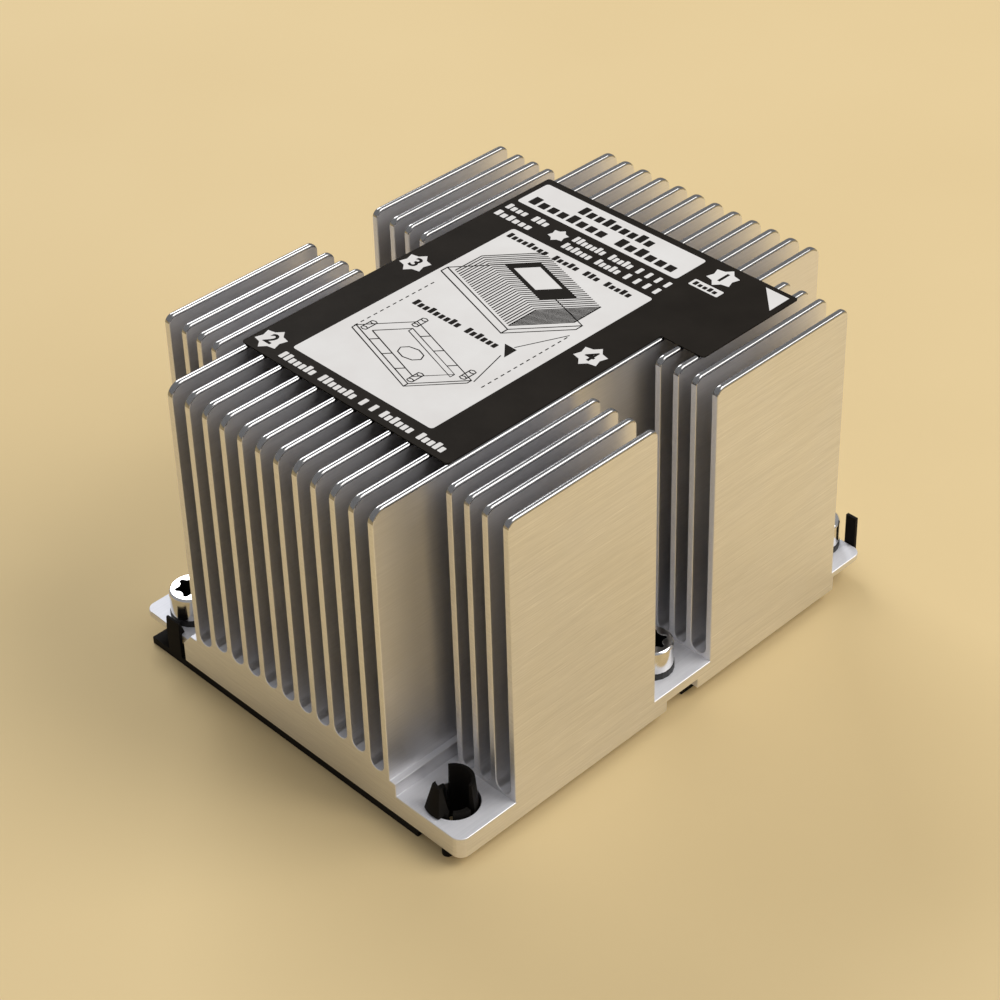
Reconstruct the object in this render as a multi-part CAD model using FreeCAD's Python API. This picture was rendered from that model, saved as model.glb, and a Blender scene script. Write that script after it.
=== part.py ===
"""Passive server processor heatsink with captive nuts, processor carrier and label.

Millimetres. X runs across the fins, Y along them and Z is up. The origin is the middle
of the fin field, on the underside of the carrier. Heights that end in _t are measured
up from the underside of the aluminium base.
"""
import FreeCAD, Part
import math
import os

V = FreeCAD.Vector

# ---- driving dimensions: the aluminium body -----------------------------------------
length = 108.0              # base and centre fins, along Y
fin_top_t = 62.6
base_z = 2.2                # the base rests on a carrier this thick

fin_t = 1.25
centre_fins = 12            # full-length fins
centre_pitch = 4.5
join_pitch = 4.175          # last centre fin to the first side fin
side_pitch = 4.0            # the shorter fins on each side
end_pitch = 4.65            # the outermost one stands a little further off
side_fins = 4
centre_round = 2.6          # top corners of the long fins
side_round = 1.6            # top corners of the short fins

floor_t = 4.2               # base under the corner pockets and middle notches
ledge_t = 6.9               # base under the ledge beside the centre fins
centre_slot_t = 9.0         # base under the centre slots
edge_slot_t = 7.6           # base under the first and last of them
side_slot_t = 4.7           # base under the side slots
ledge = 1.4                 # how far it stands out from the last centre fin
shoulder = 4.0              # the same beside an ear, at its foot
shoulder_top = 1.7          # and at its chamfered top
corner_r = 2.0              # corners of the base in plan
notch_half = 7.25           # half of the middle notch, along Y
pocket = 12.8               # corner pocket, along Y

pad_x = 48.0                # raised pad that presses on the processor
pad_y = 70.0
pad_t = 1.2

# ---- driving dimensions: the fastening pattern --------------------------------------
pattern_y = -0.7            # the pattern's middle, off the middle of the fins
corner_in_x = 7.6           # corner nuts, in from the sides
corner_in_y = 7.2           # and in from the ends
mid_in_x = 6.9              # notch nuts, in from the sides
guide_in_x = 7.7            # guide sleeves, in from the sides
guide_in_y = 6.8            # and in from the ends

ear_t = 1.3                 # thin ears that carry the corner nuts
ear_back = 4.4              # ear, towards the middle from its nut
ear_end_front = 1.2         # ear, in from the front end of the base
ear_end_rear = 4.0          # ear, in from the rear end of the base
relief_half = 4.0           # milled relief under each notch nut
relief_t = 2.1
ring_room = 0.4             # round each notch nut's ring, inside the relief

nut_r = 4.0
nut_top_t = 10.2
nut_chamfer = 0.35
shank_r = 3.0
shank_start_t = 0.2
socket_r = 2.8              # six-lobe drive, tip radius
socket_root_r = 2.0
socket_lobe_r = 0.45
lobes = 6
socket_depth = 3.4
thread_r = 1.65             # minor radius of an M4 thread
running_gap = 0.08

washer_over = 0.15          # washer, out from the nut
washer_t = 1.2
ring_r = 3.7                # open retaining ring that keeps a nut captive
ring_seat_r = 2.5
ring_t = 0.6
ring_start_t = 1.25
ring_open_deg = 70.0
groove_gap = 0.05
turned_sides = 20           # small or hidden turned faces are prisms of this many sides

# ---- driving dimensions: the plastic carrier ----------------------------------------
carrier_in_x = 2.6          # frame, in from the sides of the base
carrier_in_front = 0.45     # in from the front end of the base
carrier_in_rear = 2.8       # and in from its rear end
window_gap = 3.0            # window, out from the pad
stud_room = 3.4             # half of the square room for each stud of the socket
rim_t = 1.45                # thinner rim beside the front hook
rim_cut_y = 10.0            # and its length along Y
rear_cut_x = 6.0            # the rear hook's corner, cut back along X
rear_cut_y = 10.0
corner_cut = 8.3            # the front guide corner, cut back along X
corner_cut_y = 3.3
foot_in = 2.1               # middle of the small round foot left there, in from the side
foot_r = 1.0

sleeve_bore_r = 3.0
sleeve_r = 4.0
sleeve_gap = 0.4            # between a sleeve and its hole in the base
sleeve_rim_t = 4.9
sleeve_top_t = 9.3          # tall curved wall on part of the rim
sleeve_top_r = 3.6
sleeve_wall_deg = (12.0, 151.0)
slit_deg = ((-1.0, 12.0), (151.0, 164.0), (300.0, 312.0))
slit_start_t = 1.0
finger_r = 5.2              # snap finger, whose barb overhangs the base
finger_foot_x = (-2.4, 1.5)
finger_top_x = (-1.7, 0.4)

hook_t = 0.65
hook_gap = 0.1
hook_tip_t = 0.45           # the front hook thins to this at its top
hook_slope = 2.6            # height over which it thins
barb_reach = 0.7
barb_gap = 0.25             # under the barb, above the ear
front_hook_x = (-0.2, 3.4)  # from the front nut's axis, towards the middle
front_hook_top_t = 6.85
rear_hook_x = (3.3, 5.6)    # from the rear nut's axis, outward
rear_hook_top_t = 10.5
rear_arm_t = 1.2            # underside of the arm that carries the rear hook
rear_root_x = 3.0           # the arm's root on the frame, along X

# ---- driving dimensions: the label --------------------------------------------------
label_t = 0.2
label_r = 0.6
label_in_y = 16.7           # in from both ends of the centre fins
label_over = 0.6            # past the left centre fin
label_short = 0.7           # short of the right one
label_wing = 9.7            # the wider rear part
label_wing_y = 24.7

past = 1.0                  # how far cuts run on past the faces they open

# ---- worked out ---------------------------------------------------------------------
half_l = length / 2.0
top_z = base_z + fin_top_t
floor_z = base_z + floor_t
ledge_z = base_z + ledge_t
centre_half = ((centre_fins - 1) * centre_pitch + fin_t) / 2.0
side_steps = [join_pitch] + [side_pitch] * (side_fins - 2) + [end_pitch]
side_x = [centre_half - fin_t / 2.0 + sum(side_steps[: k + 1]) for k in range(side_fins)]
half_w = side_x[-1] + fin_t / 2.0
seat_z = floor_z + washer_t
ring_z = base_z + ring_start_t
shank_hole_r = shank_r + running_gap
washer_hole_r = shank_r + 2.0 * running_gap  # measured to the prism's corners

shoulder_x = centre_half + shoulder
corner_x = half_w - corner_in_x
corner_y = half_l - corner_in_y
mid_x = half_w - mid_in_x
guide_x = half_w - guide_in_x
guide_y = half_l - guide_in_y
front_y = pattern_y - corner_y
rear_y = pattern_y + corner_y
ear_front_y = ear_end_front - half_l
ear_rear_y = half_l - ear_end_rear
nut_places = {
    "1": (corner_x, rear_y),
    "2": (-corner_x, front_y),
    "3": (-mid_x, pattern_y),
    "4": (mid_x, pattern_y),
}
sleeve_places = (
    (guide_x, pattern_y - guide_y, 0.0),
    (-guide_x, pattern_y + guide_y, 180.0),
)
through = (-past, top_z + past)  # a Z range that cuts through everything


def box(x, y, z):
    """A block between pairs of limits, in either order."""
    (x0, x1), (y0, y1), (z0, z1) = sorted(x), sorted(y), sorted(z)
    return Part.makeBox(x1 - x0, y1 - y0, z1 - z0, V(x0, y0, z0))


def disc(x, y, r, z, start=0.0, sweep=360.0):
    """An upright cylinder, or a wedge of one."""
    wedge = Part.makeCylinder(r, z[1] - z[0], V(x, y, z[0]), V(0, 0, 1), sweep)
    wedge.rotate(V(x, y, 0), V(0, 0, 1), start)
    return wedge


def prism(r, z):
    """A small turned shape on the Z axis, with few faces."""
    turns = [2.0 * math.pi * k / turned_sides for k in range(turned_sides + 1)]
    outline = Part.makePolygon([V(r * math.cos(a), r * math.sin(a), z[0]) for a in turns])
    return Part.Face(outline).extrude(V(0, 0, z[1] - z[0]))


def edges_along(shape, axis):
    return [e for e in shape.Edges if abs(e.tangentAt(e.FirstParameter).dot(axis)) > 0.99]


def rounded_plate(x, y, z, r):
    plate = box(x, y, z)
    return plate.makeFillet(r, edges_along(plate, V(0, 0, 1)))


def fin_block(x, y, r):
    """A block for fins, with the two top edges that cross the fins rounded."""
    block = box(x, y, (base_z, top_z))
    across = edges_along(block, V(1, 0, 0))
    return block.makeFillet(r, [e for e in across if e.CenterOfMass.z > top_z - fin_t])


def slot(x, gap, bottom_z):
    """The round-bottomed gap between two fins."""
    r = gap / 2.0
    y = (-half_l - past, half_l + past)
    bed = Part.makeCylinder(r, y[1] - y[0], V(x, y[0], bottom_z + r), V(0, 1, 0))
    return bed.fuse(box((x - r, x + r), y, (bottom_z + r, through[1])))


def centre_block():
    block = fin_block((-centre_half, centre_half), (-half_l, half_l), centre_round)
    slots = []
    gaps = centre_fins - 1
    for k in range(gaps):
        x = (k - (gaps - 1) / 2.0) * centre_pitch
        bottom_t = edge_slot_t if k in (0, gaps - 1) else centre_slot_t
        slots.append(slot(x, centre_pitch - fin_t, base_z + bottom_t))
    return block.cut(slots)


def side_block(side, end):
    """Short fins; side is -1 for left or 1 for right, end is -1 for front or 1 for rear."""
    x = (side * (side_x[0] - fin_t / 2.0), side * half_w)
    y = (end * notch_half, end * (half_l - pocket))
    slots = []
    for inner, outer in zip(side_x[:-1], side_x[1:]):
        middle = side * (inner + outer) / 2.0
        slots.append(slot(middle, outer - inner - fin_t, base_z + side_slot_t))
    return fin_block(x, y, side_round).cut(slots)


def ear_shoulder(end):
    """The thick base beside an ear, chamfered down to it."""
    outline = [(0.0, base_z), (shoulder_x, base_z), (shoulder_x, floor_z),
               (centre_half + shoulder_top, ledge_z), (0.0, ledge_z), (0.0, base_z)]
    start = end * (half_l - pocket)
    face = Part.Face(Part.makePolygon([V(end * x, start, z) for x, z in outline]))
    return face.extrude(V(0, end * pocket, 0))


def under_ear(end):
    """What is cut away below to leave the thin ear of one corner nut."""
    y = (pattern_y + end * (corner_y - ear_back), end * (half_l + past))
    return box((end * shoulder_x, end * (half_w + past)), y, (through[0], floor_z - ear_t))


def base_cuts():
    cuts = [under_ear(-1), under_ear(1)]
    for x, y in nut_places.values():
        cuts.append(disc(x, y, shank_hole_r, (through[0], ledge_z)))
    for x, y, _ in sleeve_places:
        cuts.append(disc(x, y, sleeve_r + sleeve_gap, (through[0], ledge_z)))
    for side in (-1, 1):
        relief_x = (side * (mid_x - relief_half), side * (half_w + past))
        relief_z = (through[0], base_z + relief_t)
        cuts.append(box(relief_x, (-relief_half, relief_half), relief_z))
        cuts.append(disc(side * mid_x, pattern_y, ring_r + ring_room, relief_z))
    return cuts


def heatsink_body():
    floor = (base_z, floor_z)
    core = box((-centre_half - ledge, centre_half + ledge), (-half_l, half_l), (base_z, ledge_z))
    parts = [
        rounded_plate((-half_w, 0.0), (ear_front_y, half_l), floor, corner_r),
        rounded_plate((0.0, half_w), (-half_l, ear_rear_y), floor, corner_r),
        box((-pad_x / 2.0, pad_x / 2.0), (-pad_y / 2.0, pad_y / 2.0), (base_z - pad_t, base_z)),
        ear_shoulder(-1),
        ear_shoulder(1),
        centre_block(),
    ]
    parts += [side_block(side, end) for side in (-1, 1) for end in (-1, 1)]
    return core.fuse(parts).cut(base_cuts()).removeSplitter()


def six_lobe(z0, z1):
    """A six-lobe drive as a prism: round lobes joined by tangent hollows."""
    lobe_at = socket_r - socket_lobe_r
    step = 360.0 / lobes
    half = step / 2.0
    along = lobe_at * math.cos(math.radians(half))
    gap = lobe_at ** 2 + socket_root_r ** 2 - 2.0 * along * socket_root_r
    hollow_r = (gap - socket_lobe_r ** 2) / (2.0 * (socket_lobe_r - socket_root_r + along))
    hollow_at = socket_root_r + hollow_r

    def at(r, deg):
        return V(r * math.cos(math.radians(deg)), r * math.sin(math.radians(deg)), z0)

    def tangent_point(deg, turn):
        lobe = at(lobe_at, deg)
        share = socket_lobe_r / (socket_lobe_r + hollow_r)
        return lobe + (at(hollow_at, deg + turn) - lobe) * share

    edges = []
    for k in range(lobes):
        deg = k * step
        leave = tangent_point(deg, half)
        edges.append(Part.Arc(tangent_point(deg, -half), at(socket_r, deg), leave).toShape())
        meet = tangent_point(deg + step, -half)
        edges.append(Part.Arc(leave, at(socket_root_r, deg + half), meet).toShape())
    return Part.Face(Part.Wire(edges)).extrude(V(0, 0, z1 - z0))


def nut():
    """Head with a six-lobe drive, shank with a ring groove, and a thread from below."""
    top = base_z + nut_top_t
    bottom = base_z + shank_start_t
    head = disc(0, 0, nut_r, (seat_z, top))
    rim = [e for e in head.Edges if e.Closed and e.CenterOfMass.z > seat_z + nut_chamfer]
    body = head.makeChamfer(nut_chamfer, rim).fuse(prism(shank_r, (bottom, seat_z)))
    groove_z = (ring_z - groove_gap, ring_z + ring_t + groove_gap)
    groove = prism(nut_r, groove_z).cut(prism(ring_seat_r, groove_z))
    drive = six_lobe(top - socket_depth, through[1])
    return body.cut([groove, drive, disc(0, 0, thread_r, (through[0], top))])


def washer():
    ring = prism(nut_r + washer_over, (floor_z, seat_z))
    return ring.cut(prism(washer_hole_r, through))


def retaining_ring():
    ring = prism(ring_r, (ring_z, ring_z + ring_t))
    opening = disc(0, 0, 2.0 * ring_r, through, 0.0, ring_open_deg)
    return ring.cut([prism(ring_seat_r, through), opening])


def guide_sleeve():
    """A ring through the base that carries a tapered wall and a snap finger."""
    top = base_z + sleeve_top_t
    start, end = sleeve_wall_deg
    ring = disc(0, 0, sleeve_r, (0.0, base_z + sleeve_rim_t))
    wall = Part.makeCone(sleeve_r, sleeve_top_r, top - floor_z, V(0, 0, floor_z), V(0, 0, 1), end - start)
    wall.rotate(V(0, 0, 0), V(0, 0, 1), start)
    foot = floor_z + barb_gap
    barb = Part.makeCone(finger_r, sleeve_top_r, top - foot, V(0, 0, foot))
    sides = [V(finger_foot_x[0], 0, foot), V(finger_top_x[0], 0, top),
             V(finger_top_x[1], 0, top), V(finger_foot_x[1], 0, foot)]
    width = Part.Face(Part.makePolygon(sides + sides[:1])).extrude(V(0, -finger_r, 0))
    cuts = [disc(0, 0, sleeve_bore_r, through)]
    for slit_start, slit_end in slit_deg:
        slit_z = (base_z + slit_start_t, top)
        cuts.append(disc(0, 0, finger_r, slit_z, slit_start, slit_end - slit_start))
    return ring.fuse([wall, barb.common(width)]).cut(cuts)


def side_plate(outline, x):
    """A shape drawn as (y, z) points, between two places along X."""
    points = [V(x[0], y, z) for y, z in outline]
    return Part.Face(Part.makePolygon(points + points[:1])).extrude(V(x[1] - x[0], 0, 0))


def front_hook(x):
    """An upright past the end of the front ear, with a barb that catches over it."""
    inner = ear_front_y - hook_gap
    outer = inner - hook_t
    top = base_z + front_hook_top_t
    under = floor_z + barb_gap
    return side_plate([(outer, 0.0), (outer, top - hook_slope), (inner - hook_tip_t, top), (inner, top),
                       (inner + barb_reach, under), (inner, under), (inner, 0.0)], x)


def rear_hook(x):
    """An upright behind the rear ear, on an arm that reaches out under it."""
    y = (ear_rear_y + hook_gap, ear_rear_y + hook_gap + hook_t)
    edge = half_w - carrier_in_x - rear_cut_x
    arm_top = floor_z - ear_t
    root = box((edge - rear_root_x, edge), y, (0.0, arm_top))
    arm = box((edge - rear_root_x, x[1]), y, (base_z + rear_arm_t, arm_top))
    return root.fuse([arm, box(x, y, (base_z + rear_arm_t, base_z + rear_hook_top_t))])


def carrier_frame():
    x = half_w - carrier_in_x
    front = carrier_in_front - half_l
    rear = half_l - carrier_in_rear
    window_x = pad_x / 2.0 + window_gap
    window_y = pad_y / 2.0 + window_gap
    cut_y = (front - past, front + corner_cut_y)
    cuts = [box((-window_x, window_x), (-window_y, window_y), through),
            box((x - corner_cut, x + past), cut_y, through),
            box((x - rear_cut_x, x + past), (rear - rear_cut_y, rear + past), through),
            box((-x - past, -shoulder_x), (front - past, front + rim_cut_y), (rim_t, base_z))]
    for nut_x, nut_y in nut_places.values():
        outward = x + past if abs(nut_y) < notch_half else abs(nut_x) + stud_room
        room_x = [math.copysign(limit, nut_x) for limit in (abs(nut_x) - stud_room, outward)]
        cuts.append(box(room_x, (nut_y - stud_room, nut_y + stud_room), through))
    frame = box((-x, x), (front, rear), (0.0, base_z)).cut(cuts)
    foot_x = x - foot_in
    foot = disc(foot_x, front + foot_r, foot_r, (0.0, base_z))
    bridge = box((foot_x - foot_r, foot_x + foot_r), (front + foot_r, cut_y[1]), (0.0, base_z))
    return frame.fuse([foot, bridge])


def processor_carrier():
    parts = [front_hook([x - corner_x for x in front_hook_x]),
             rear_hook([x + corner_x for x in rear_hook_x])]
    holes = []
    for x, y, turn in sleeve_places:
        holes.append(disc(x, y, sleeve_bore_r, (through[0], base_z)))
        sleeve = guide_sleeve()
        sleeve.rotate(V(0, 0, 0), V(0, 0, 1), turn)
        sleeve.translate(V(x, y, 0))
        parts.append(sleeve)
    return carrier_frame().fuse(parts).cut(holes).removeSplitter()


def label():
    left = -centre_half - label_over
    right = centre_half - label_short
    front = label_in_y - half_l
    rear = half_l - label_in_y
    body = box((left, right), (front, rear), (top_z, top_z + label_t))
    wing = box((0.0, right + label_wing), (rear - label_wing_y, rear), (top_z, top_z + label_t))
    film = body.fuse(wing).removeSplitter()
    return film.makeFillet(label_r, edges_along(film, V(0, 0, 1)))


def save(name, shape):
    solid = shape.Solids[0]
    assert len(shape.Solids) == 1 and solid.isValid(), name
    solid.exportStep("parts/" + name + ".step")
    print(name, round(solid.Volume, 1), "mm3")


os.makedirs("parts", exist_ok=True)
save("heatsink_body", heatsink_body())
save("processor_carrier", processor_carrier())
save("label", label())
pieces = {"nut_": nut(), "washer_": washer(), "retaining_ring_": retaining_ring()}
for number, (x, y) in nut_places.items():
    for kind, shape in pieces.items():
        placed = shape.copy()
        placed.translate(V(x, y, 0))
        save(kind + number, placed)
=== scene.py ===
"""Passive server processor heatsink: finish, label print, light and camera."""
import math
import bpy
import bmesh
from mathutils import Euler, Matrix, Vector


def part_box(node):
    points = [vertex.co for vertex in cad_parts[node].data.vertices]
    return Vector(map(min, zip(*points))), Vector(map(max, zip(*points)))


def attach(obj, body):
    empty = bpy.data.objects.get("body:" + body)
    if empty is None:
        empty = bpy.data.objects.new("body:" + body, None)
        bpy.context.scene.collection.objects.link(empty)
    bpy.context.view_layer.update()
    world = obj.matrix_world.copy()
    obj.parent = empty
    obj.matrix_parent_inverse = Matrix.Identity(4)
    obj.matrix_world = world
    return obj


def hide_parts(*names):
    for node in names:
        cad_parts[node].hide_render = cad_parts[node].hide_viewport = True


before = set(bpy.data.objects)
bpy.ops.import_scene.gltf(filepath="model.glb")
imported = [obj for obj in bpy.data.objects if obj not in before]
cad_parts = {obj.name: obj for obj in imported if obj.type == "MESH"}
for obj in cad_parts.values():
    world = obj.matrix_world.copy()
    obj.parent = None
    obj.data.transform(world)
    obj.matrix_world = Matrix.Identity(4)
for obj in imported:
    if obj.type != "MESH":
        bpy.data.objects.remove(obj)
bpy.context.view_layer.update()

MM = 0.001
body_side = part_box("heatsink_body")[1].x     # how far the outer sides lie from the middle
film_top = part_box("label")[1].z


# ---------------------------------------------------------------- shader building blocks
def add(tree, kind, inputs=None, **settings):
    """A node with its settings, and its inputs given as values or as output sockets."""
    node = tree.nodes.new(kind)
    for name, value in settings.items():
        setattr(node, name, value)
    for name, value in (inputs or {}).items():
        if isinstance(value, bpy.types.NodeSocket):
            tree.links.new(value, node.inputs[name])
        else:
            node.inputs[name].default_value = value
    return node


def group(name, inputs, outputs):
    """An empty shader group with named sockets: (name, type, default)."""
    tree = bpy.data.node_groups.new(name, "ShaderNodeTree")
    for label, kind, default in inputs:
        socket = tree.interface.new_socket(label, in_out="INPUT", socket_type=kind)
        socket.default_value = default
    for label, kind in outputs:
        tree.interface.new_socket(label, in_out="OUTPUT", socket_type=kind)
    return tree, tree.nodes.new("NodeGroupInput"), tree.nodes.new("NodeGroupOutput")


def grain_group():
    """Lines drawn out along one axis, with slow cloudy changes of tone."""
    tree, given, out = group(
        "drawn_grain",
        [("Stretch", "NodeSocketVector", (1.0, 0.02, 1.0)), ("Scale", "NodeSocketFloat", 6000.0),
         ("Cloud", "NodeSocketFloat", 60.0)],
        [("Lines", "NodeSocketFloat"), ("Fine", "NodeSocketFloat"), ("Clouds", "NodeSocketFloat")])
    place = add(tree, "ShaderNodeTexCoord").outputs["Object"]
    drawn = add(tree, "ShaderNodeVectorMath", {0: place, 1: given.outputs["Stretch"]}, operation="MULTIPLY")
    lines = add(tree, "ShaderNodeTexNoise", {
        "Vector": drawn.outputs[0], "Scale": given.outputs["Scale"], "Detail": 3.0, "Roughness": 0.6})
    finer = add(tree, "ShaderNodeMath", {0: given.outputs["Scale"], 1: 3.1}, operation="MULTIPLY")
    fine = add(tree, "ShaderNodeTexNoise", {
        "Vector": drawn.outputs[0], "Scale": finer.outputs[0], "Detail": 2.0, "Roughness": 0.55})
    clouds = add(tree, "ShaderNodeTexNoise", {
        "Vector": place, "Scale": given.outputs["Cloud"], "Detail": 3.0, "Roughness": 0.55})
    tree.links.new(lines.outputs["Fac"], out.inputs["Lines"])
    tree.links.new(fine.outputs["Fac"], out.inputs["Fine"])
    tree.links.new(clouds.outputs["Fac"], out.inputs["Clouds"])
    return tree


def scratch_group():
    """A mask of a few long thin scratches along one axis."""
    tree, given, out = group(
        "long_scratches",
        [("Stretch", "NodeSocketVector", (1.0, 0.02, 1.0)), ("Scale", "NodeSocketFloat", 3600.0),
         ("Cut", "NodeSocketFloat", 0.7)],
        [("Mask", "NodeSocketFloat")])
    place = add(tree, "ShaderNodeTexCoord").outputs["Object"]
    drawn = add(tree, "ShaderNodeVectorMath", {0: place, 1: given.outputs["Stretch"]}, operation="MULTIPLY")
    noise = add(tree, "ShaderNodeTexNoise", {
        "Vector": drawn.outputs[0], "Scale": given.outputs["Scale"], "Detail": 4.0, "Roughness": 0.7})
    full = add(tree, "ShaderNodeMath", {0: given.outputs["Cut"], 1: 0.06}, operation="ADD")
    mask = add(tree, "ShaderNodeMapRange", {
        "Value": noise.outputs["Fac"], "From Min": given.outputs["Cut"], "From Max": full.outputs[0]})
    tree.links.new(mask.outputs["Result"], out.inputs["Mask"])
    return tree


def new_material(name):
    material = bpy.data.materials.new(name)
    material.use_nodes = True
    tree = material.node_tree
    return material, tree, tree.nodes["Principled BSDF"]


def use_group(tree, shared, **values):
    node = tree.nodes.new("ShaderNodeGroup")
    node.node_tree = shared
    for name, value in values.items():
        node.inputs[name].default_value = value
    return node


def wire(tree, shader, tone, roughness, bump):
    """Feeds a material's changing colour, roughness and relief to its shader."""
    tree.links.new(tone, shader.inputs["Base Color"])
    tree.links.new(roughness, shader.inputs["Roughness"])
    tree.links.new(bump.outputs["Normal"], shader.inputs["Normal"])


def mix_colour(tree, factor, low, high):
    node = add(tree, "ShaderNodeMix", {"Factor": factor}, data_type="RGBA")
    for socket, value in ((node.inputs[6], low), (node.inputs[7], high)):
        if isinstance(value, bpy.types.NodeSocket):
            tree.links.new(value, socket)
        else:
            socket.default_value = (*value, 1.0)
    return node.outputs[2]


def spread(tree, value, low, high, start=0.3, end=0.7):
    """Maps a noise value from its usual range onto low to high."""
    node = add(tree, "ShaderNodeMapRange", {
        "Value": value, "From Min": start, "From Max": end, "To Min": low, "To Max": high})
    return node.outputs["Result"]


def aluminium(name, stretch, scale, dark, light, rough, relief, scratches=0.0, cut=0.7, metallic=1.0):
    """Bare metal with a grain; rough is its (smoothest, roughest)."""
    material, tree, shader = new_material(name)
    grain = use_group(tree, grain_tree, Stretch=stretch, Scale=scale)
    tone = mix_colour(tree, spread(tree, grain.outputs["Lines"], 0.0, 1.0), dark, light)
    cloudy = add(tree, "ShaderNodeMath", {0: grain.outputs["Clouds"], 1: grain.outputs["Fine"]},
                 operation="ADD")
    roughness = spread(tree, cloudy.outputs[0], rough[0], rough[1], 0.7, 1.3)
    height = grain.outputs["Lines"]
    if scratches:
        marks = use_group(tree, scratch_tree, Stretch=stretch, Cut=cut)
        pale = add(tree, "ShaderNodeMath", {0: marks.outputs["Mask"], 1: scratches}, operation="MULTIPLY")
        tone = mix_colour(tree, pale.outputs[0], tone, (0.96, 0.95, 0.94))
        height = add(tree, "ShaderNodeMath", {0: height, 1: marks.outputs["Mask"]},
                     operation="SUBTRACT").outputs[0]
    bump = add(tree, "ShaderNodeBump", {"Height": height, "Strength": relief, "Distance": 0.00002})
    wire(tree, shader, tone, roughness, bump)
    shader.inputs["Metallic"].default_value = metallic
    return material


def moulded_plastic(name, dark, light, rough, relief, grain_scale=9000.0):
    """Moulded plastic with a fine spark-eroded texture."""
    material, tree, shader = new_material(name)
    grain = use_group(tree, grain_tree, Stretch=(1.0, 1.0, 1.0), Scale=grain_scale, Cloud=120.0)
    tone = mix_colour(tree, spread(tree, grain.outputs["Clouds"], 0.0, 1.0), dark, light)
    roughness = spread(tree, grain.outputs["Lines"], rough[0], rough[1])
    bump = add(tree, "ShaderNodeBump", {
        "Height": grain.outputs["Lines"], "Strength": relief, "Distance": 0.00003})
    wire(tree, shader, tone, roughness, bump)
    return material


def nickel_plate():
    """Bright plate with faint turning lines and a few dull spots."""
    material, tree, shader = new_material("nickel_plate")
    grain = use_group(tree, grain_tree, Stretch=(0.1, 0.1, 1.0), Scale=9000.0, Cloud=500.0)
    tone = mix_colour(tree, spread(tree, grain.outputs["Clouds"], 0.0, 1.0),
                      (0.66, 0.64, 0.62), (0.80, 0.79, 0.77))
    roughness = spread(tree, grain.outputs["Clouds"], 0.10, 0.22)
    bump = add(tree, "ShaderNodeBump", {
        "Height": grain.outputs["Fine"], "Strength": 0.12, "Distance": 0.00001})
    wire(tree, shader, tone, roughness, bump)
    shader.inputs["Metallic"].default_value = 1.0
    return material


grain_tree = grain_group()
scratch_tree = scratch_group()

ALONG = (1.0, 0.02, 1.0)     # grain drawn out along the fins
ACROSS = (0.03, 1.0, 1.0)    # grain drawn out across them
extruded = aluminium("extruded_aluminium", ALONG, 5200.0, (0.82, 0.81, 0.82), (0.89, 0.88, 0.89),
                     (0.42, 0.50), 0.15)
brushed = aluminium("brushed_aluminium", ALONG, 5200.0, (0.76, 0.75, 0.74), (0.88, 0.87, 0.86),
                    (0.44, 0.52), 0.3, scratches=0.9, cut=0.60)
sawn = aluminium("sawn_aluminium", ACROSS, 5200.0, (0.76, 0.75, 0.75), (0.86, 0.85, 0.84),
                 (0.42, 0.50), 0.25)
# Milled finish with painted light: the floors and notch walls are a paler, cooler and only half metallic
# copy of the aluminium, brighter than the lamps make them.
painted_light_milled = aluminium("milled_aluminium_painted_light", ALONG, 3000.0, (0.90, 0.90, 0.93), (0.96, 0.96, 0.99),
                   (0.60, 0.70), 0.5, metallic=0.55)
# Painted shade: the fin crowns are a much darker copy of the aluminium, so only a thin highlight shows on
# them.
painted_shade_fin_tops = aluminium("fin_tops_painted_shade", ALONG, 5200.0, (0.33, 0.325, 0.32), (0.42, 0.415, 0.41),
                     (0.14, 0.20), 0.10)
nickel = nickel_plate()
spring_steel = aluminium("spring_steel", (0.2, 0.2, 1.0), 5000.0, (0.28, 0.28, 0.29), (0.40, 0.40, 0.41),
                         (0.3, 0.42), 0.2)
black_plastic = moulded_plastic(
    "black_plastic", (0.012, 0.011, 0.010), (0.018, 0.016, 0.014), (0.4, 0.52), 0.2)
black_washer = moulded_plastic(
    "black_washer", (0.009, 0.009, 0.009), (0.016, 0.016, 0.016), (0.5, 0.62), 0.2)
# Painted shade: a near-black sheet for the faces deep inside the nut sockets, where only shade falls.
socket_painted_shade = moulded_plastic(
    "socket_painted_shade", (0.006, 0.006, 0.006), (0.012, 0.012, 0.012), (0.5, 0.6), 0.1)

PRINTED = 2500.0             # scale of the tooth in printed film and ink
label_film = moulded_plastic(
    "label_film", (0.016, 0.013, 0.010), (0.022, 0.018, 0.014), (0.42, 0.5), 0.1, PRINTED)
white_ink = moulded_plastic(
    "white_ink", (0.78, 0.75, 0.72), (0.83, 0.81, 0.78), (0.5, 0.58), 0.06, PRINTED)
black_ink = moulded_plastic(
    "black_ink", (0.014, 0.012, 0.010), (0.020, 0.017, 0.014), (0.5, 0.58), 0.06, PRINTED)

DULL = 0.02                  # specular level of surfaces that hardly mirror the lamps
for material in (black_plastic, socket_painted_shade, label_film, white_ink, black_ink):
    material.node_tree.nodes["Principled BSDF"].inputs["Specular IOR Level"].default_value = DULL


# ------------------------------------------------------------------- meshes from the frame
def finish_piece(piece, body):
    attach(piece, body)
    return piece


def link(name, mesh):
    piece = bpy.data.objects.new(name, mesh)
    bpy.context.scene.collection.objects.link(piece)
    return piece


def flatten(piece):
    """Turns a piece's modifiers into its own plain mesh."""
    graph = bpy.context.evaluated_depsgraph_get()
    mesh = bpy.data.meshes.new_from_object(piece.evaluated_get(graph))
    piece.modifiers.clear()
    piece.data = mesh
    return piece


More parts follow.
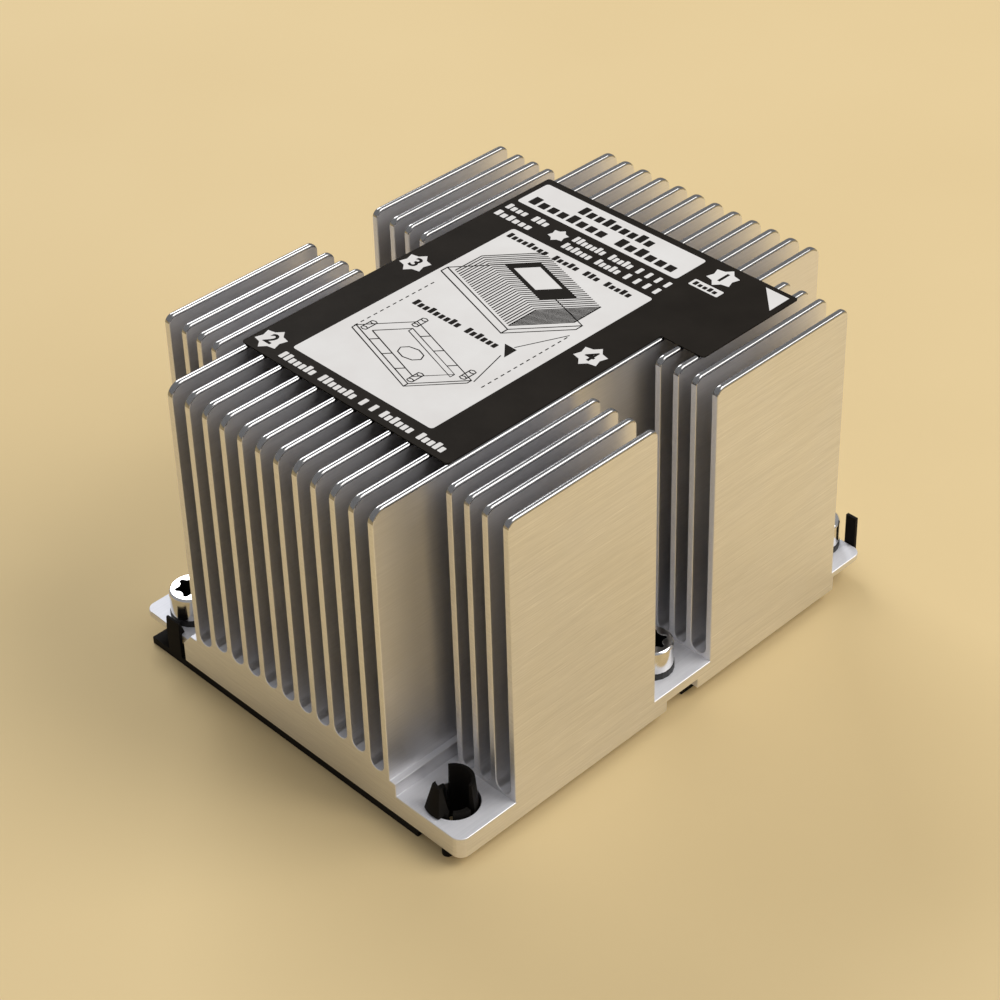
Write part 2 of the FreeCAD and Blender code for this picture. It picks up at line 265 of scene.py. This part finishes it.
def softened(node, name, largest, round_of=None, angle=50.0, clamp=True):
    """A copy of a CAD node with its edges past angle rounded, each by what round_of says."""
    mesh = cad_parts[node].data.copy()
    mesh.materials.clear()
    shape = bmesh.new()
    shape.from_mesh(mesh)
    bmesh.ops.remove_doubles(shape, verts=shape.verts, dist=1e-6)
    bmesh.ops.dissolve_limit(shape, angle_limit=math.radians(0.5), verts=shape.verts, edges=shape.edges)
    weight = shape.edges.layers.float.new("bevel_weight_edge")
    for edge in shape.edges:
        if edge.calc_face_angle(0.0) > math.radians(angle):
            start, end = (vertex.co for vertex in edge.verts)
            size = round_of((start + end) / 2.0, (end - start).normalized()) if round_of else largest
            edge[weight] = size / largest
    shape.to_mesh(mesh)
    shape.free()
    piece = link(name, mesh)
    bevel = piece.modifiers.new("rounded_edges", "BEVEL")
    bevel.width = largest
    bevel.segments = 3
    bevel.loop_slide = False
    bevel.limit_method = "WEIGHT"
    bevel.use_clamp_overlap = clamp
    return flatten(piece)


SMOOTHED = 32.0              # edges flatter than this many degrees are shaded as rounds


def paint(piece, materials, choose):
    """Gives each face the material that choose names, and shades the rounds softly."""
    piece.data.materials.clear()
    for material in materials:
        piece.data.materials.append(material)
    for face in piece.data.polygons:
        face.material_index = materials.index(choose(face.center, face.normal))
        face.use_smooth = True
    piece.data.set_sharp_from_angle(angle=math.radians(SMOOTHED))
    even = piece.modifiers.new("even_normals", "WEIGHTED_NORMAL")
    even.keep_sharp = True
    flatten(piece)


BROKEN = 0.18 * MM           # round on an edge that is only broken
CROWN = 0.5 * MM             # round on the long top edges of the fins
BANK_FOOT = 20.0 * MM        # all long edges above this belong to the fins
CROWNED = 40.0 * MM          # above this all that faces up is a fin's top
FLOORS = 12.0 * MM           # below this all that faces up is a milled floor
NOTCH_REACH = 10.0 * MM      # faces across the fins this near the middle are notch walls


def fin_round(middle, direction):
    """Fin tops are crowned, and the round dies out down the fin's ends."""
    if middle.z > BANK_FOOT and abs(direction.x) < 0.5:
        return BROKEN + (CROWN - BROKEN) * direction.y ** 2
    return BROKEN




def body_finish(middle, normal):
    """Brushed outer sides, sawn ends, milled floors and walls made paler as painted light, extruded fins,
    and their crowns darkened as painted shade.
    """
    flat = 0.9
    # Upward faces of the fin crowns take the darker copy, as painted shade.
    if normal.z > 0.15 and middle.z > CROWNED:
        return painted_shade_fin_tops
    if abs(normal.x) > flat and abs(middle.x) > body_side - 0.1 * MM:
        return brushed
    # The notch walls here and the floors below take the milled copy made paler, as painted light.
    if abs(normal.y) > flat:
        return sawn if abs(middle.y) > NOTCH_REACH else painted_light_milled
    if normal.z > flat and middle.z < FLOORS:
        return painted_light_milled
    return extruded


def dress_body():
    body = softened("heatsink_body", "finned_body", CROWN, fin_round, clamp=False)
    paint(body, [extruded, brushed, sawn, painted_light_milled, painted_shade_fin_tops], body_finish)
    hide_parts("heatsink_body")
    return finish_piece(body, "root")


def dress_moulding():
    carrier = softened("processor_carrier", "moulded_carrier", BROKEN)
    paint(carrier, [black_plastic], lambda middle, normal: black_plastic)
    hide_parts("processor_carrier")
    return finish_piece(carrier, "root")


SOCKET_REACH = 3.1 * MM      # the socket's faces lie nearer a nut's axis than this
SOCKET_DEPTH = 4.0 * MM      # and nearer its top than this
RIM = 0.25 * MM              # the bright rim's height above the faces with painted shade


def dress_nut(number):
    """A plated nut whose six-lobe socket is painted dark inside as painted shade."""
    node = "nut_" + number
    low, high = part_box(node)
    axis = (low + high) / 2.0
    nut = softened(node, "plated_" + node, 0.1 * MM, angle=35.0)

    def finish(middle, normal):
        out_x, out_y = middle.x - axis.x, middle.y - axis.y
        inward = normal.x * out_x + normal.y * out_y < 0.0 or normal.z > 0.9
        depth = high.z - middle.z
        in_socket = math.hypot(out_x, out_y) < SOCKET_REACH and RIM < depth < SOCKET_DEPTH
        # Faces deep in the socket get painted shade; all else is nickel.
        return socket_painted_shade if inward and in_socket else nickel

    paint(nut, [nickel, socket_painted_shade], finish)
    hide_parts(node)
    finish_piece(nut, "fastener_" + number)


def dress_fasteners():
    """Nuts with broken edges; the washers, rings and label keep their CAD shapes."""
    finishes = {"washer_": black_washer, "retaining_ring_": spring_steel, "label": label_film}
    for node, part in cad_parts.items():
        if node.startswith("nut_"):
            dress_nut(node[-1])
        for start, material in finishes.items():
            if node.startswith(start):
                part.data.materials.clear()
                part.data.materials.append(material)


# ----------------------------------------------------------------------- print on the label
INK = 0.012 * MM             # thickness of a layer of ink


def nodes_tree(name, inputs):
    """An empty Geometry Nodes tree: geometry in and out, with named inputs."""
    tree = bpy.data.node_groups.new(name, "GeometryNodeTree")
    tree.interface.new_socket("Geometry", in_out="INPUT", socket_type="NodeSocketGeometry")
    for label, kind, default in inputs:
        socket = tree.interface.new_socket(label, in_out="INPUT", socket_type=kind)
        if default is not None:
            socket.default_value = default
    tree.interface.new_socket("Geometry", in_out="OUTPUT", socket_type="NodeSocketGeometry")
    return tree, tree.nodes.new("NodeGroupInput"), tree.nodes.new("NodeGroupOutput")


def inked(tree, curve, given):
    """Fills a flat curve, sets it at its level and makes it a closed plate of ink."""
    flat = add(tree, "GeometryNodeFillCurve", {"Curve": curve}, mode="NGONS").outputs[0]
    level = add(tree, "ShaderNodeCombineXYZ", {"Z": given.outputs["Level"]})
    under = add(tree, "GeometryNodeTransform", {
        "Geometry": flat, "Translation": level.outputs[0]}).outputs[0]
    up = add(tree, "ShaderNodeCombineXYZ", {"Z": given.outputs["Thickness"]})
    raised = add(tree, "GeometryNodeExtrudeMesh", {
        "Mesh": under, "Offset": up.outputs[0], "Offset Scale": 1.0, "Individual": False})
    turned = add(tree, "GeometryNodeFlipFaces", {"Mesh": under})
    both = tree.nodes.new("GeometryNodeJoinGeometry")
    tree.links.new(raised.outputs["Mesh"], both.inputs[0])
    tree.links.new(turned.outputs["Mesh"], both.inputs[0])
    closed = add(tree, "GeometryNodeMergeByDistance", {"Geometry": both.outputs[0], "Distance": 1e-7})
    return add(tree, "GeometryNodeSetMaterial", {
        "Geometry": closed.outputs[0], "Material": given.outputs["Ink"]}).outputs[0]


PRINT_INPUTS = [("Level", "NodeSocketFloat", 0.0), ("Thickness", "NodeSocketFloat", INK),
                ("Ink", "NodeSocketMaterial", None)]


def plates_tree():
    """A rounded plate of print on every point, as large as the point's size says."""
    tree, given, out = nodes_tree("printed_plates", PRINT_INPUTS + [("Corner", "NodeSocketFloat", 0.0002)])
    size = add(tree, "GeometryNodeInputNamedAttribute", {"Name": "size"}, data_type="FLOAT_VECTOR")
    plate = add(tree, "GeometryNodeCurvePrimitiveQuadrilateral", {"Width": 1.0, "Height": 1.0})
    placed = add(tree, "GeometryNodeInstanceOnPoints", {
        "Points": given.outputs["Geometry"], "Instance": plate.outputs[0], "Scale": size.outputs[0]})
    real = add(tree, "GeometryNodeRealizeInstances", {"Geometry": placed.outputs[0]})
    rounded = add(tree, "GeometryNodeFilletCurve", {
        "Curve": real.outputs[0], "Count": 3, "Radius": given.outputs["Corner"], "Limit Radius": True},
        mode="POLY")
    tree.links.new(inked(tree, rounded.outputs[0], given), out.inputs[0])
    return tree


def stars_tree():
    """A six-pointed badge on every point, as large as the point's size says."""
    tree, given, out = nodes_tree("star_badges", PRINT_INPUTS + [("Waist", "NodeSocketFloat", 0.7)])
    size = add(tree, "GeometryNodeInputNamedAttribute", {"Name": "size"}, data_type="FLOAT_VECTOR")
    star = add(tree, "GeometryNodeCurveStar", {
        "Points": 6, "Inner Radius": given.outputs["Waist"], "Outer Radius": 1.0})
    upright = add(tree, "GeometryNodeTransform", {
        "Geometry": star.outputs["Curve"], "Rotation": (0.0, 0.0, math.radians(90.0))})
    placed = add(tree, "GeometryNodeInstanceOnPoints", {
        "Points": given.outputs["Geometry"], "Instance": upright.outputs[0], "Scale": size.outputs[0]})
    real = add(tree, "GeometryNodeRealizeInstances", {"Geometry": placed.outputs[0]})
    tree.links.new(inked(tree, real.outputs[0], given), out.inputs[0])
    return tree


def strokes_tree():
    """Flat lines of ink along the edges of a wire mesh."""
    tree, given, out = nodes_tree("printed_strokes", PRINT_INPUTS + [("Width", "NodeSocketFloat", 0.0002)])
    route = add(tree, "GeometryNodeMeshToCurve", {"Mesh": given.outputs["Geometry"]})
    level = add(tree, "ShaderNodeCombineXYZ", {"Z": given.outputs["Level"]})
    lifted = add(tree, "GeometryNodeTransform", {
        "Geometry": route.outputs[0], "Translation": level.outputs[0]})
    upright = add(tree, "GeometryNodeSetCurveNormal", {"Curve": lifted.outputs[0]}, mode="Z_UP")
    nib = add(tree, "GeometryNodeCurvePrimitiveQuadrilateral", {
        "Width": given.outputs["Width"], "Height": given.outputs["Thickness"]})
    drawn = add(tree, "GeometryNodeCurveToMesh", {
        "Curve": upright.outputs[0], "Profile Curve": nib.outputs[0], "Fill Caps": True})
    real = add(tree, "GeometryNodeRealizeInstances", {"Geometry": drawn.outputs[0]})
    coated = add(tree, "GeometryNodeSetMaterial", {
        "Geometry": real.outputs[0], "Material": given.outputs["Ink"]})
    tree.links.new(coated.outputs[0], out.inputs[0])
    return tree


def grow(piece, tree, **values):
    """Runs a Geometry Nodes tree on a piece and keeps the result as a plain mesh."""
    modifier = piece.modifiers.new(tree.name, "NODES")
    modifier.node_group = tree
    for item in tree.interface.items_tree:
        if item.in_out == "INPUT" and item.name in values:
            modifier[item.identifier] = values[item.name]
    flatten(piece)
    materials = piece.data.materials
    while materials and materials[0] is None:
        materials.pop(index=0)
    return finish_piece(piece, "root")


def print_points(name, tree, places, ink, level, **values):
    """Print placed by middle and size, all in millimetres: (x, y, width, height)."""
    mesh = bpy.data.meshes.new(name)
    mesh.from_pydata([(x * MM, y * MM, 0.0) for x, y, _, _ in places], [], [])
    sizes = mesh.attributes.new("size", "FLOAT_VECTOR", "POINT")
    for point, (_, _, width, height) in zip(sizes.data, places):
        point.vector = (width * MM, height * MM, 1.0)
    return grow(link(name, mesh), tree, Ink=ink, Level=film_top + level * INK, **values)


def print_lines(name, lines, width, level):
    """Thin black strokes between points in millimetres; each line is a list of points."""
    points, edges = [], []
    for line in lines:
        edges += [(len(points) + i, len(points) + i + 1) for i in range(len(line) - 1)]
        points += [(x * MM, y * MM, 0.0) for x, y in line]
    mesh = bpy.data.meshes.new(name)
    mesh.from_pydata(points, edges, [])
    return grow(link(name, mesh), strokes, Ink=black_ink, Level=film_top + (level + 0.5) * INK,
                Width=width * MM)


def print_shape(name, corners, ink, level):
    """One flat plate of ink; its corners are in millimetres, anticlockwise."""
    low = film_top + level * INK
    count = len(corners)
    points = [(x * MM, y * MM, z) for z in (low, low + INK) for x, y in corners]
    sides = [(i, (i + 1) % count, (i + 1) % count + count, i + count) for i in range(count)]
    mesh = bpy.data.meshes.new(name)
    mesh.from_pydata(points, [], [tuple(reversed(range(count))), tuple(range(count, 2 * count))] + sides)
    mesh.materials.append(ink)
    return finish_piece(link(name, mesh), "root")


def from_edges(left, right, bottom, top):
    return ((left + right) / 2.0, (bottom + top) / 2.0, right - left, top - bottom)


def words(left, right, bottom, height, lengths):
    """A line of print as small blocks: lengths gives the letters in each word."""
    letters = sum(lengths)
    spaces = len(lengths) - 1
    step = (right - left) / (letters + spaces)
    blocks = []
    place = left
    for length in lengths:
        for letter in range(length):
            tall = letter == 0 or (letter * 5 + length) % 4 == 0
            top = bottom + height * (1.0 if tall else 0.74)
            blocks.append(from_edges(place, place + 0.74 * step, bottom, top))
            place += step
        place += step
    return blocks


def dashes(x, low, high, length=0.8, gap=0.7, half_width=0.12):
    """A broken upright line."""
    starts = [low + i * (length + gap) for i in range(int((high - low + gap) / (length + gap)))]
    return [from_edges(x - half_width, x + half_width, start, start + length) for start in starts]


class Drawing:
    """A plain line drawing in a slanting view, in millimetres on the label."""

    RIGHT = (0.88, -0.27)
    AWAY = (0.50, 0.56)

    def __init__(self, x, y):
        self.x, self.y = x, y
        self.lines = []

    def at(self, right, away, up=0.0):
        return (self.x + right * self.RIGHT[0] + away * self.AWAY[0],
                self.y + right * self.RIGHT[1] + away * self.AWAY[1] + up)

    def line(self, *points):
        self.lines.append([self.at(*point) for point in points])

    def ring(self, right, away, up, reach, sides, turn=0.0):
        """A level closed ring of straight sides round a point."""
        turns = [math.radians(turn + i * 360.0 / sides) for i in range(sides + 1)]
        self.line(*[(right + reach * math.cos(a), away + reach * math.sin(a), up) for a in turns])

    def sheet(self, right, away, up):
        """The corners of a level rectangle."""
        (r0, r1), (a0, a1) = right, away
        return [self.at(r0, a0, up), self.at(r1, a0, up), self.at(r1, a1, up), self.at(r0, a1, up)]

    def slab(self, right, away, low, high):
        """The three seen sides of a flat block."""
        (r0, r1), (a0, a1) = right, away
        self.line((r0, a0, low), (r1, a0, low), (r1, a1, low), (r1, a1, high), (r0, a1, high),
                  (r0, a0, high), (r0, a0, low))
        self.line((r0, a0, high), (r1, a0, high), (r1, a1, high))
        self.line((r1, a0, low), (r1, a0, high))


def draw_fins():
    """A plain finned block on its base, with a dark label across the fins."""
    block = Drawing(-15.6, 1.4)
    long, deep, base, top = 22.0, 15.0, 1.6, 8.2
    block.slab((-1.4, long + 1.4), (-1.0, deep + 1.0), 0.0, base)
    fins, fin, shades = 15, 0.7, 12
    for i in range(fins):
        left = i * (long - fin) / (fins - 1)
        for face in (left, left + fin):
            block.line((face, 0.0, base), (face, 0.0, top), (face, deep, top))
    block.line((long, 0.0, base), (long, deep, base), (long, deep, top))
    for i in range(1, shades):
        height = base + i * (top - base) / shades
        block.line((long, 0.0, height), (long, deep, height))
    print_lines("diagram_fins", block.lines, 0.27, 1)
    print_shape("diagram_fins_label", block.sheet((3.6, long - 3.6), (3.2, deep - 3.2), top),
                black_ink, 2)
    print_shape("diagram_fins_panel", block.sheet((5.6, long - 7.6), (4.4, deep - 4.4), top),
                white_ink, 3)


def draw_frame():
    """A plain socket frame with a post in each corner and an eight-sided pad in the middle."""
    frame_view = Drawing(-15.4, -21.6)
    long, deep, rail = 22.0, 14.0, 2.4
    frame_view.slab((0.0, long), (0.0, deep), 0.0, 1.0)
    far_right, far_away = long - rail, deep - rail
    inner = ((rail, rail), (far_right, rail), (far_right, far_away), (rail, far_away), (rail, rail))
    frame_view.line(*[(right, away, 1.0) for right, away in inner])
    frame_view.line((rail, far_away, 1.0), (rail, far_away, 0.0), (far_right, far_away, 0.0),
                    (far_right, far_away, 1.0))
    for share in (0.25, 0.5, 0.75):
        for away in (0.0, far_away):
            frame_view.line((share * long, away, 1.0), (share * long, away + rail, 1.0))
    frame_view.ring(0.5 * long, 0.5 * deep, 0.5, 2.6, 8, 22.5)
    post, foot, head = 0.7, 1.0, 3.2
    for right in (0.5 * rail, long - 0.5 * rail):
        for away in (0.5 * rail, deep - 0.5 * rail):
            for up in (foot, head):
                frame_view.ring(right, away, up, post, 6)
            for side in (-post, post):
                frame_view.line((right + side, away, foot), (right + side, away, head))
    print_lines("diagram_frame", frame_view.lines, 0.24, 1)


def print_label():
    """Panels, badges, blocks in place of lettering, and two plain diagrams."""
    panels = [from_edges(-24.7, 14.7, 27.5, 35.7), from_edges(-18.15, 16.1, -32.6, 20.1)]
    print_points("label_panels", plates, panels, white_ink, 0, Corner=0.6 * MM)
    print_points("label_tag", plates, [from_edges(17.15, 23.75, 27.9, 30.0)], white_ink, 0,
                 Corner=0.25 * MM)
    pale = words(-24.7, -14.0, 24.3, 1.8, [4, 3]) + words(-24.7, -15.5, 21.4, 1.8, [6])
    pale += words(-7.6, 15.6, 24.2, 1.9, [7, 5, 1, 1, 1, 1])
    pale += words(-7.6, 15.6, 21.4, 1.9, [6, 5, 1, 1, 1, 1])
    pale += words(-18.0, 22.1, -36.0, 1.9, [7, 7, 1, 1, 6, 5])
    print_points("label_pale_words", plates, pale, white_ink, 0, Corner=0.18 * MM)
    dark = words(-13.6, 4.6, 32.0, 2.6, [9]) + words(-22.9, 13.2, 28.5, 2.6, [8, 6])
    dark += words(-17.3, 13.0, 17.3, 1.6, [8, 5, 3, 5])
    dark += words(-13.5, 7.2, -9.5, 1.7, [9, 6])
    dark += words(17.7, 23.2, 28.35, 1.2, [5])
    print_points("label_dark_words", plates, dark, black_ink, 1, Corner=0.15 * MM)
    broken_lines = dashes(-15.5, -21.0, -1.0) + dashes(13.6, -19.0, 2.0)
    print_points("label_dashes", plates, broken_lines, black_ink, 1, Corner=0.02 * MM)
    print_shape("label_corner_mark", [(27.9, 36.25), (33.15, 31.0), (33.15, 36.25)], white_ink, 0)
    print_shape("label_pointer", [(7.25, -7.25), (10.1, -10.25), (10.1, -7.25)], black_ink, 1)
    print_lines("label_leaders", [[(13.5, 2.0), (9.25, -7.0)], [(9.25, -10.2), (11.5, -18.7)]], 0.2, 1)
    badges = {"1": (20.5, 33.4), "2": (-22.6, -33.5), "3": (-22.6, -0.1), "4": (20.4, -0.1)}
    places = [(x, y, 3.0, 3.0) for x, y in badges.values()] + [(-10.5, 23.85, 2.0, 2.0)]
    print_points("label_badges", stars, places, white_ink, 0)
    for digit, (x, y) in badges.items():
        print_digit(digit, x, y)
    draw_fins()
    draw_frame()


def print_digit(digit, x, y):
    """One plain number, set upright in the middle of its badge."""
    font = bpy.data.curves.new("digit_" + digit, "FONT")
    font.body = digit
    font.size = 3.9 * MM
    font.align_x = "CENTER"
    font.align_y = "CENTER"
    font.extrude = INK / 2.0
    font.offset = 0.1 * MM
    text = link("badge_digit_" + digit, font)
    mesh = bpy.data.meshes.new_from_object(text)
    bpy.data.objects.remove(text)
    for vertex in mesh.vertices:
        vertex.co += Vector((x * MM, y * MM, film_top + 1.5 * INK))
    mesh.materials.clear()
    mesh.materials.append(black_ink)
    finish_piece(link("badge_digit_" + digit, mesh), "root")


plates = plates_tree()
stars = stars_tree()
strokes = strokes_tree()


# ------------------------------------------------------------------------ floor and light
def lay_floor():
    """A large sheet of pale sand-coloured paper with a faint tooth."""
    material, tree, shader = new_material("sand_paper")
    grain = use_group(tree, grain_tree, Stretch=(1.0, 1.0, 1.0), Scale=1500.0, Cloud=6.0)
    tone = mix_colour(tree, spread(tree, grain.outputs["Clouds"], 0.0, 1.0),
                      (0.79, 0.60, 0.31), (0.83, 0.64, 0.34))
    bump = add(tree, "ShaderNodeBump", {
        "Height": grain.outputs["Lines"], "Strength": 0.05, "Distance": 0.0001})
    tree.links.new(tone, shader.inputs["Base Color"])
    tree.links.new(bump.outputs["Normal"], shader.inputs["Normal"])
    shader.inputs["Roughness"].default_value = 0.75
    shader.inputs["Specular IOR Level"].default_value = 0.2
    reach = 6.0
    mesh = bpy.data.meshes.new("studio_floor")
    corners = [(-reach, -reach, 0.0), (reach, -reach, 0.0), (reach, reach, 0.0), (-reach, reach, 0.0)]
    mesh.from_pydata(corners, [], [(0, 1, 2, 3)])
    mesh.materials.append(material)
    link("studio_floor", mesh)


def softbox(name, place, size, power, colour):
    """A rectangular lamp that faces the middle of the part."""
    lamp = bpy.data.lights.new(name, "AREA")
    lamp.shape = "RECTANGLE"
    lamp.size, lamp.size_y = size
    lamp.energy = power
    lamp.color = colour
    light = bpy.data.objects.new(name, lamp)
    light.location = place
    light.rotation_euler = (Vector((0.0, 0.0, 0.03)) - Vector(place)).to_track_quat("-Z", "Y").to_euler()
    bpy.context.scene.collection.objects.link(light)


def light_studio():
    """A main light from behind on the right, a cool one from behind on the left, and even air."""
    softbox("main_softbox", (0.75, 0.55, 1.0), (0.9, 0.9), 10.5, (1.0, 0.985, 0.96))
    softbox("rear_softbox", (-1.1, 0.45, 0.95), (0.8, 0.5), 9.0, (0.95, 0.97, 1.0))
    world = bpy.data.worlds.new("studio_air")
    world.use_nodes = True
    world.node_tree.nodes["Background"].inputs["Color"].default_value = (0.78, 0.79, 0.82, 1.0)
    world.node_tree.nodes["Background"].inputs["Strength"].default_value = 0.44
    bpy.context.scene.world = world


def place_camera():
    """Looks down across the front right corner."""
    lens = bpy.data.cameras.new("camera")
    lens.sensor_width = 36.0
    lens.lens = 90.13
    lens.shift_x = -0.026
    lens.shift_y = -0.2023
    lens.clip_start = 0.01
    camera = bpy.data.objects.new("camera", lens)
    camera.location = (0.2600, -0.2498, 0.3012)
    azimuth, elevation, roll = math.radians(45.57), math.radians(-32.95), math.radians(-1.28)
    view = Vector((-math.sin(azimuth) * math.cos(elevation), math.cos(azimuth) * math.cos(elevation),
                   math.sin(elevation)))
    aim = view.to_track_quat("-Z", "Y").to_matrix()
    camera.rotation_euler = (aim @ Euler((0.0, 0.0, roll)).to_matrix()).to_euler()
    bpy.context.scene.collection.objects.link(camera)
    bpy.context.scene.camera = camera


dress_body()
dress_moulding()
dress_fasteners()
print_label()
lay_floor()
light_studio()
place_camera()
bpy.context.scene.view_settings.view_transform = "Standard"
